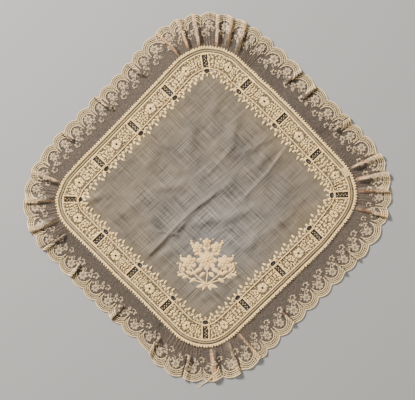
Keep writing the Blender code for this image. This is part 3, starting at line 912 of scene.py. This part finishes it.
def make_linen():
    """The linen as one thin sheet with its windows and eyelets cut out."""
    edge = hem_ring(HEM_POINTS, 0.0)
    holes = [window_rim(run) for run in WINDOW_RUNS] + [eyelet_rim(run) for run in WINDOW_RUNS]
    points = np.concatenate([edge, *holes, linen_points(edge, holes)])
    edges = []
    hole_of = np.full(len(points), -1)
    start = 0
    for k, rim in enumerate([edge] + holes):
        loop = np.arange(len(rim))
        edges += [(int(start + i), int(start + (i + 1) % len(rim))) for i in loop]
        hole_of[start + loop] = k - 1
        start += len(rim)
    found = delaunay_2d_cdt([Vector(p) for p in points], edges, [], 0, SAME_POINT)
    spots = np.array(found[0])
    source = np.array([ids[0] if ids else -1 for ids in found[3]])
    faces = np.array(found[2])
    owner = np.where(source < 0, -1, hole_of[source])[faces]
    filled = (owner[:, 0] >= 0) & (owner[:, 0] == owner[:, 1]) & (owner[:, 1] == owner[:, 2])
    faces = faces[is_inside(edge, spots[faces].mean(axis=1)) & ~filled]
    a, b, c = (spots[faces[:, i]] for i in range(3))
    turn = (b[:, 0] - a[:, 0]) * (c[:, 1] - a[:, 1]) - (b[:, 1] - a[:, 1]) * (c[:, 0] - a[:, 0])
    faces[turn < 0] = faces[turn < 0][:, ::-1]
    surface = np.column_stack([spots, linen_height(spots)])
    border = ~is_inside(hem_ring(CORD_POINTS, INNER_CORD + 0.1), spots)
    worn = np.clip(1 - (nearest(edge, spots) - INNER_CORD) / STAIN_REACH, 0, 1)
    grey = np.exp(-(np.linalg.norm(spots - np.array(GREY_PLACE), axis=1) / GREY_REACH) ** 2)
    shares = np.column_stack([border, worn, grey])
    return make_piece("linen_sheet", surface, faces, spots, linen_cloth_material(), shares)


def make_hem(ivory, beige):
    """The whipped edge's teeth, and the overcast lines of the hem."""
    teeth = Pile()
    lines = Pile()
    lines.add(*level_cord(HEM_RUN, HEM_STITCH, *BEIGE_CORD))
    for row in CREAM_CORDS:
        teeth.add(*level_cord(HEM_RUN, HEM_STITCH, *row))
    count = int(HEM_RUN / TOOTH_PITCH)
    rng = np.random.default_rng(3)
    for k in range(count):
        place = (k + rng.uniform(-0.12, 0.12)) * HEM_RUN / count
        long = TOOTH_LONG + rng.uniform(-0.3, 0.4)
        teeth.add(*leaf(place, -1.7, 97, long, TOOTH_WIDE, puff=0.9, rows=7, blunt=0.9, fat=0.6))
    return teeth.piece("hem_teeth", on_border, ivory), lines.piece("hem_lines", on_border, beige)


def make_patch(ivory):
    """The short over-sewn join across the hem on the right-hand side."""
    pile = Pile()
    for k in range(JOIN_STITCHES):
        run = JOIN_RUN + k * JOIN_PITCH
        path = np.linspace((run, -9.6), (run + 0.6, -0.8), 12)
        pile.add(*cord(path[::-1], 2.1, 0.75, base=0.3, ribs=0.06))
    return pile.piece("join_patch", on_border, ivory)


def make_windows(ivory, dark):
    """Satin bars round each window and eyelet; the needle-woven ladder inside and a ring inside each
    eyelet are in near-black thread, painted shade that darkens the openings.
    """
    bars = Pile()
    ladders = Pile()
    half = WINDOW_HALF
    tall = WINDOW_TALL
    satin = []
    woven = []
    for x in (-half - 0.6, half + 0.6):
        satin.append(cord(np.linspace((x, -tall - 1.2), (x, tall + 0.6), 34), 1.9, 1.1, ribs=0.12))
    for y, wide in ((tall + 0.5, 1.3), (-tall - 0.5, 1.4)):
        satin.append(cord(np.linspace((-half - 1.3, y), (half + 1.3, y), 18), wide, 1.0, ribs=0.12))
    for k in range(RUNGS):
        y = tall * (2 * (k + 1) / (RUNGS + 1) - 1)
        woven.append(cord(np.linspace((-half, y), (half, y), 10), 1.25, 0.3, ribs=0.15))
        satin.append(dot(0.9 * (-1) ** k, y, 0.65, 0.6))
    for x in (-3.4, -2.2, -1.0, 1.0, 2.2, 3.4):
        woven.append(cord(np.linspace((x, -tall), (x, tall), 26), 0.95, 0.35, ribs=0.2))
    for run in WINDOW_RUNS:
        bars.stamp(satin, in_cloth(run, WINDOW_MIDDLE), line_tangent(run))
        ladders.stamp(woven, in_cloth(run, WINDOW_MIDDLE), line_tangent(run))
        # Each eyelet gets an ivory rim and, inside it, a near-black ring that is painted shade
        for pile, grow, wide, high in ((bars, 1.0, 0.9, 0.9), (ladders, -0.5, 2.4, 0.5)):
            rim = eyelet_rim(run, grow)
            pile.add(*cord(np.vstack([rim, rim[:2]])[::-1], wide, high, ribs=0.15))
    return bars.piece("window_bars", on_linen, ivory), ladders.piece("window_ladders", on_linen, dark)


# A panel: its length as drawn, how much of that can stretch, and where that begins; its distance
# from the edge; its two stems on one side of the rosette, and the single dots at its edges
PANEL_LONG = 66.0
PANEL_GIVE = 36.0
ROSETTE_REACH = 8.0
PANEL_INSET = 18.6
PANEL_STEMS = (
    ((8.2, 3.2), (13, 4.6), (19, 3.4), (25.4, 4.2)),
    ((8.2, -3.2), (13, -4.4), (19, -3.2), (25.4, -4.0)),
)
PANEL_DOTS = (
    (6.4, 8.8), (6.6, -8.2), (10.6, 9.2), (14.8, 8.8), (14.8, -8.4), (19.4, 9.0), (19.4, -8.2),
    (24.4, 8.6), (24.4, -8.2), (8.8, 0.2), (27.0, 0.4), (13.6, 0.2), (18.4, 0), (22.8, 0.2),
)
BEANS = 6


def panel_shapes(rng):
    """One embroidered panel: a rosette, and stems with pairs of small beans to each side."""
    shapes = []
    spin = rng.uniform(-16, 16)
    for k in range(5):
        turn = 90 + spin + 72 * k
        long = 6.1 + rng.uniform(-0.4, 0.4)
        shapes.append(petal(0, 0, 1.4, turn, long, 5.2, puff=0.7, blunt=0.45))
        between = math.radians(turn + 36)
        shapes.append(dot(5.7 * math.cos(between), 5.7 * math.sin(between), 1.1, 0.5))
    shapes.append(cord(ring_path(0, 0, 2.0, 14), 0.8, 0.8))
    for side in (-1, 1):
        for x, y in np.concatenate([curve(stem, BEANS) for stem in PANEL_STEMS]):
            for above in (-1, 1):
                turn = above * (60 + rng.uniform(-18, 18))
                far = side * (x + rng.uniform(-0.4, 0.4))
                high = y + above * 0.3 + rng.uniform(-0.3, 0.3)
                long = 4.1 + rng.uniform(-0.9, 0.7)
                shapes.append(leaf(far, high, turn if side > 0 else 180 - turn, long, 0.6 * long,
                                   side * 0.3, puff=0.6, blunt=0.5, rows=6))
        for x, y in PANEL_DOTS:
            shapes.append(dot(side * x, y, rng.uniform(0.7, 1.05), 0.5))
    return shapes


def ring_path(x, y, radius, count):
    """A closed ring of points, with one point twice over."""
    angles = np.linspace(0, 2 * math.pi * (1 + 1 / count), count + 2)
    return np.column_stack([x + radius * np.cos(angles), y + radius * np.sin(angles)])


def between_windows():
    """Each panel's middle run, and how much its outer parts grow to reach its two windows."""
    runs = list(WINDOW_RUNS) + [WINDOW_RUNS[0] + HEM_RUN]
    for start, end in zip(runs, runs[1:]):
        yield (start + end) / 2, (end - start - PANEL_LONG) / PANEL_GIVE


def make_panels(ivory):
    """The embroidered band between the windows."""
    pile = Pile()
    rng = np.random.default_rng(7)
    for middle, growth in between_windows():
        for grid, measure in panel_shapes(rng):
            x = grid[..., 0]
            far = np.maximum(np.abs(x) - ROSETTE_REACH, 0) * np.sign(x)
            y = 0.9 * grid[..., 1] - PANEL_INSET
            pile.add(np.stack([middle + x + far * growth, y, grid[..., 2]], axis=-1), measure)
    return pile.piece("panel_embroidery", on_border, ivory)


def make_hearts(dark):
    """A near-black dot at the middle of each rosette, painted shade standing in for its pinhole."""
    pile = Pile()
    for middle, _growth in between_windows():
        pile.add(*dot(middle, -PANEL_INSET, 1.5, 0.95))
    return pile.piece("rosette_hole_shade", on_border, dark)


def make_ground(beige):
    """The dotted openwork behind the embroidered panels."""
    pile = Pile()
    rng = np.random.default_rng(11)
    windows = np.array(WINDOW_RUNS)
    count = int(HEM_RUN / GROUND_PITCH)
    for row in range(GROUND_ROWS):
        depth = GROUND_START + row * GROUND_PITCH
        for k in range(count):
            run = (k + 0.5 * (row % 2)) * HEM_RUN / count + rng.uniform(-0.25, 0.25)
            gap = np.abs(np.mod(run - windows + HEM_RUN / 2, HEM_RUN) - HEM_RUN / 2).min()
            if gap > WINDOW_HALF + 2.4:
                size = rng.uniform(0.55, 0.8)
                pile.add(*dot(run, -depth + rng.uniform(-0.25, 0.25), size, 0.35, steps=5))
    return pile.piece("dotted_ground", on_border, beige)


def make_sprigs(ivory):
    """The inner cord line, and the sprigs that point inward from it."""
    pile = Pile()
    rng = np.random.default_rng(5)
    run = np.linspace(0, HEM_RUN, int(HEM_RUN) + 1)
    line = in_cloth(run, INNER_CORD)
    pile.add(*cord(line, 1.4, 0.95, ribs=0.12))
    length = path_length(line)
    marks = np.interp(WINDOW_RUNS, run, length)
    for start, end in zip(marks, [*marks[1:], marks[0] + length[-1]]):
        start, end = start + EYELET_LONG / 2, end - EYELET_LONG / 2
        count = max(3, round((end - start) / SPRIG_PITCH))
        for k in range(count):
            for share, far in ((0.3, 1), (0.76, 0)):
                place = start + (k + share) * ((end - start) / count)
                place = np.interp(np.mod(place, length[-1]), length, run)
                lean = rng.uniform(-12, 12) + (14 if far else -14)
                shapes = [
                    cord(curve([(0.4, 0), (0.2, -2.6), (0, -5.0 - 2.2 * far)], 8), 0.7, 0.35),
                    leaf(0, -5.0 - 2.6 * far, -90 + lean, 5.8, 2.9, 0.2, puff=0.8, blunt=0.5),
                    leaf(1.3, -2.4, -56 + lean, 4.3, 2.4, 0.2, puff=0.8, blunt=0.5),
                ]
                if far:
                    shapes.append(leaf(-0.9, -3.4, -130 + lean, 4.5, 2.4, 0.2, puff=0.8, blunt=0.5))
                pile.stamp(shapes, in_cloth(place, INNER_CORD), line_tangent(place))
    tips = []
    for x, y, turn, long in ((0, -6.4, -90, 4.4), (-3.9, -4.6, -122, 3.8), (3.9, -4.6, -58, 3.8)):
        tips.append(leaf(x, y, turn, long, 2.6, puff=0.7, blunt=0.55))
    for place in WINDOW_RUNS:
        pile.stamp(tips, in_cloth(place, INNER_CORD), line_tangent(place))
    return pile.piece("inner_sprigs", on_linen, ivory)


# The posy: flowers, stems, leaves and buds on the right and in the middle. A flower has a place,
# size and petals, and a leaf has a foot, turn, length, width and bend.
POSY_PLACE = (0.0, -87.0)
POSY_FLOWERS = ((0, 6, 13.6, 8), (23, 3, 10.0, 6), (12.5, 22.5, 7.4, 5), (0, 29, 5.8, 5))
POSY_STEMS = (
    ((0, -2), (0.6, -12), (-0.4, -20), (0, -27)),
    ((20, -4), (15, -13), (7, -20), (1, -24)),
    ((34, 3), (35.5, -2), (34.8, -7), (31, -11)),
    ((0, 17), (0.3, 20), (0, 24)),
    ((4, 15), (8, 15.5), (10.5, 18)),
    ((31, -11), (22, -18), (10, -22), (0, -25)),
)
POSY_BUDS = ((37, -10), (38, 2), (34, 12), (20, 31), (8, 33))
POSY_LEAVES = (
    (6, -5, -28, 10, 4.4, 0.8), (2, -10, -40, 9, 4.0, 0.6), (13, -10, -20, 9, 4.0, 0.8),
    (20, -12, 24, 8, 3.6, 0.6), (24, -15, -14, 8, 3.6, 0.6), (29, -9, 52, 7, 3.2, 0.5),
    (34, -4, 84, 7, 3.0, 0.4), (31, 4, 60, 7, 3.4, 0.4), (14, -18, -30, 9, 3.8, 0.6),
    (30, -13, -4, 8, 3.2, 0.4), (9, 14, -4, 7, 3.4, 0.5), (1, 19, 48, 6, 3.0, 0.4),
    (17, 25, 40, 6, 2.8, 0.4), (2, -24, -24, 12, 3.8, -0.8), (1, -26, -58, 8, 3.2, 0.5),
)


def sides(x):
    """Both sides for what lies off the posy's middle line, or one."""
    return (-1, 1) if x else (1,)


def make_posy(ivory):
    """A plain posy of flowers and leaves, worked in the lower corner."""
    pile = Pile()
    shapes = []
    for right, y, size, petals in POSY_FLOWERS:
        for x in [side * right for side in sides(right)]:
            for ring, far, long in ((0, 0.34, 0.68), (1, 0.12, 0.5)):
                wide = 2 * math.pi * size * (far + 0.42 * long) / petals
                for k in range(petals):
                    turn = 90 + 360 * (k + 0.5 * ring) / petals
                    grid, measure = petal(x, y, size * far, turn, size * long, wide, puff=0.6, blunt=0.5)
                    shapes.append((grid + np.array([0, 0, 0.35 * ring]), measure))
            shapes.append(dot(x, y, size * 0.17, 1.5))
    for stem in POSY_STEMS:
        for side in sides(stem[0][0]):
            shapes.append(cord(curve(np.array(stem) * (side, 1), 30), 1.8, 0.7, ribs=0.12))
    for x, y, turn, long, wide, bend in POSY_LEAVES:
        for side, way in ((1, turn), (-1, 180 - turn)):
            shapes.append(leaf(side * x, y, way, 1.1 * long, 1.3 * wide, side * bend, puff=0.7, blunt=0.6))
    for x, y in POSY_BUDS:
        shapes += [dot(x, y, 1.4), dot(-x, y, 1.4)]
    pile.stamp(shapes, POSY_PLACE)
    return pile.piece("corner_posy", on_linen, ivory)


def make_lace_sheet(veil):
    """The lace's ground as one thin pleated sheet."""
    pile = Pile()
    even = np.linspace(0, STRIP_LONG, int(STRIP_LONG / SHEET_PITCH) + 1)
    along = np.unique(np.round(np.concatenate([even, pleat_places()]), 2))
    out = np.linspace(0, 1, SHEET_ROWS)[None, :] * scallop_edge(along)[:, None]
    grid = np.stack([along[:, None] + 0 * out, out, 0 * out], axis=-1)
    pile.add(grid, grid[..., :2])
    return pile.piece("lace_sheet", on_lace, veil, lace_cover)


def make_net(material, lean, name):
    """One family of the net's slanting threads."""
    pile = Pile()
    count = round(STRIP_LONG / NET_PITCH)
    out = np.linspace(0, STRIP_WIDE, 38)
    for k in range(count):
        along = k * STRIP_LONG / count + lean * out * NET_SLANT
        path = np.column_stack([along, np.minimum(out, scallop_edge(along) - 0.5)])
        pile.add(*cord(path[::lean], 0.34, 0.18, cols=3, base=0.02))
    return pile.piece(name, on_lace, material, lace_cover)


def band_curve(share, count=26):
    """One of a scallop's nested arches, from its inner edge to its outer one."""
    angle = np.linspace(math.pi, 0, count)
    half = SCALLOP_FLAT / 2
    inner = np.column_stack([ARCH_WIDE * np.cos(angle), ARCH_FOOT + ARCH_HIGH * np.sin(angle)])
    x = half * np.cos(angle)
    outer = np.column_stack([x, STRIP_WIDE - NOTCH_DEEP * (x / half) ** 2])
    return inner + share * (outer - inner)


def make_edging(material):
    """The scallops' close-worked bands with their rows of pinholes."""
    pile = Pile()
    shapes = []
    for share, wide in ((0.0, 1.1), (0.34, 0.75), (0.67, 0.75), (1.0, 1.4)):
        shapes.append(cord(band_curve(share), wide, 0.45, base=0.1))
    ends = zip(band_curve(0.0, EDGE_BARS + 2), band_curve(1.0, EDGE_BARS + 2))
    for inner, outer in list(ends)[1:-1]:
        shapes.append(cord(np.linspace(inner, outer, 4), 0.42, 0.25, base=0.08, cols=3))
    for k in range(SCALLOPS):
        pile.stamp(shapes, ((k + 0.5) * SCALLOP_FLAT, 0))
    return pile.piece("scallop_edging", on_lace, material, lace_cover)


def flower_shapes():
    """A scallop's flower, with its buds and stem, round the middle of the flower."""
    shapes = []
    for turn, long, wide in ((8, 4.6, 3.3), (62, 4.4, 3.2), (112, 4.2, 3.2), (160, 4.8, 3.4),
                             (212, 5.0, 3.4), (262, 5.2, 3.4), (314, 5.0, 3.4)):
        shapes.append(petal(0, 0, 1.5, turn, long, wide, puff=0.35, blunt=0.5))
    for x, y, radius in ((0, 0, 0.9), (-5.4, -6.0, 1.6), (-8.4, -6.8, 1.7), (-7.0, -9.8, 1.5),
                         (5.6, -5.4, 1.6), (8.0, -2.8, 1.4), (-2.6, -11.4, 1.5)):
        shapes.append(dot(x, y, radius, 0.35))
    stem = [(-1.2, -5.6), (-3.4, -8.2), (-4.6, -11.6), (-3.4, -13.8), (-0.8, -13.8)]
    shapes.append(cord(curve(stem, 18), 1.0, 0.35))
    shapes.append(cord(curve([(1.8, -5.6), (3.2, -8.2), (5.6, -8.8)], 10), 1.0, 0.35))
    return shapes


def spray_shapes():
    """The small hooked spray between two scallops."""
    shapes = [dot(-1.9, 3.6, 1.5, 0.4), dot(1.6, 4.2, 1.3, 0.4), dot(-3.0, 0.8, 1.2, 0.4)]
    hook = [(-1.8, 2.6), (-1.6, 0.2), (0.4, -1.2), (2.6, -0.8), (3.2, 0.8)]
    shapes.append(cord(curve(hook, 14), 1.2, 0.35))
    return shapes


def make_flowers(material):
    """The lace's flowers, one in each scallop, and the small sprays between them."""
    pile = Pile()
    rng = np.random.default_rng(13)
    flower = flower_shapes()
    spray = spray_shapes()
    for k in range(SCALLOPS):
        for shapes, x, y in ((flower, k + 0.5, FLOWER_OUT), (spray, k + 1, SPRAY_OUT)):
            angle = math.radians(rng.uniform(-14, 14))
            size = rng.uniform(0.92, 1.08)
            spot = (x * SCALLOP_FLAT + rng.uniform(-0.6, 0.6), y + rng.uniform(-0.5, 0.5))
            sized = [(grid * (size, size, 1.0) + (0, 0, 0.12), measure) for grid, measure in shapes]
            pile.stamp(sized, spot, (math.cos(angle), math.sin(angle)))
    return pile.piece("lace_flowers", on_lace, material, lace_cover)


def make_foot(material):
    """The lace's straight foot, caught by the whipping."""
    pile = Pile()
    for out, wide in ((0.7, 0.9), (2.2, 0.5)):
        pile.add(*level_cord(STRIP_LONG, 1.0, out, wide, 0.3, 0.2))
    return pile.piece("lace_foot", on_lace, material)


def make_loose_thread(material):
    """The thread end that trails from the lowest scallop."""
    pile = Pile()
    for points, wide in LOOSE_ENDS:
        grid, measure = cord(curve(points, 40), wide, 0.5, base=0.1, ribs=0.2)
        grid[..., 2] += np.linspace(1, 0, 40)[:, None] ** 2 * 2.2
        pile.add(grid, measure)
    return pile.piece("loose_thread", np.asarray, material)


def make_floor():
    """A plain pale floor."""
    cloth = Cloth("floor", 0.9)
    cloth.shader.inputs["Base Color"].default_value = linear(FLOOR_RGB)
    bpy.ops.mesh.primitive_plane_add(size=6.0, location=(0, 0, 0))
    floor = bpy.context.object
    floor.name = "floor"
    floor.data.materials.append(cloth.material)


def make_camera():
    """A long lens straight above, framed as the photograph is."""
    centre = (np.array(VIEW_CENTRE) - SHIFT) * MM
    data = bpy.data.cameras.new("camera")
    data.sensor_width = 36.0
    data.lens = data.sensor_width * CAMERA_HIGH / (IMAGE_WIDE * PIXEL * MM)
    camera = bpy.data.objects.new("camera", data)
    camera.location = (centre[0], centre[1], CAMERA_HIGH)
    bpy.context.scene.collection.objects.link(camera)
    bpy.context.scene.camera = camera


def add_light(name, spot, size, power):
    """A soft square light, aimed at the middle of the cloth."""
    data = bpy.data.lights.new(name, "AREA")
    data.shape = "SQUARE"
    data.size = size
    data.energy = power
    light = bpy.data.objects.new(name, data)
    light.location = spot
    light.rotation_euler = (-Vector(spot)).to_track_quat("-Z", "Y").to_euler()
    bpy.context.scene.collection.objects.link(light)


def make_light():
    """A soft key light from the upper left, and an even fill."""
    add_light("key", (-1.6, 1.6, 1.05), size=0.5, power=262.0)
    add_light("fill", (1.2, -1.0, 1.8), size=1.6, power=15.6)
    world = bpy.data.worlds.new("studio")
    world.use_nodes = True
    background = world.node_tree.nodes["Background"]
    background.inputs["Color"].default_value = (1.0, 1.0, 1.0, 1.0)
    background.inputs["Strength"].default_value = ROOM_LIGHT
    bpy.context.scene.world = world


make_camera()
ivory = stitch_material("ivory_stitches", IVORY_RGB)
beige = stitch_material("beige_stitches", BEIGE_RGB)
# Lace motif thread, with painted shade beside the pleats' slits
motif_thread = stitch_material("lace_motif", MOTIF_RGB, pitch=0.7, roughness=0.75, painted_slits=True)
net_thread = thread_material()
linen = make_linen()
teeth, lines = make_hem(ivory, beige)
patch = make_patch(ivory)
# Near-black thread: painted shade for the window openings, eyelets and rosette pinholes
dark = stitch_material("painted_shade_thread", PAINTED_SHADE_RGB)
windows, ladders = make_windows(ivory, dark)
panels = make_panels(ivory)
hearts = make_hearts(dark)
ground = make_ground(beige)
sprigs = make_sprigs(ivory)
posy = make_posy(stitch_material("posy_stitches", POSY_RGB))
lace = make_lace_sheet(veil_material())
net_right = make_net(net_thread, 1, "net_right")
net_left = make_net(net_thread, -1, "net_left")
edging = make_edging(motif_thread)
# Lace flowers, with painted shade beside the pleats' slits
flowers = make_flowers(stitch_material("lace_flower", FLOWER_RGB, pitch=0.7, roughness=0.75, painted_slits=True))
foot = make_foot(net_thread)
thread = make_loose_thread(ivory)
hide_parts("linen_centre")
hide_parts("lace_frill")
make_floor()
make_light()
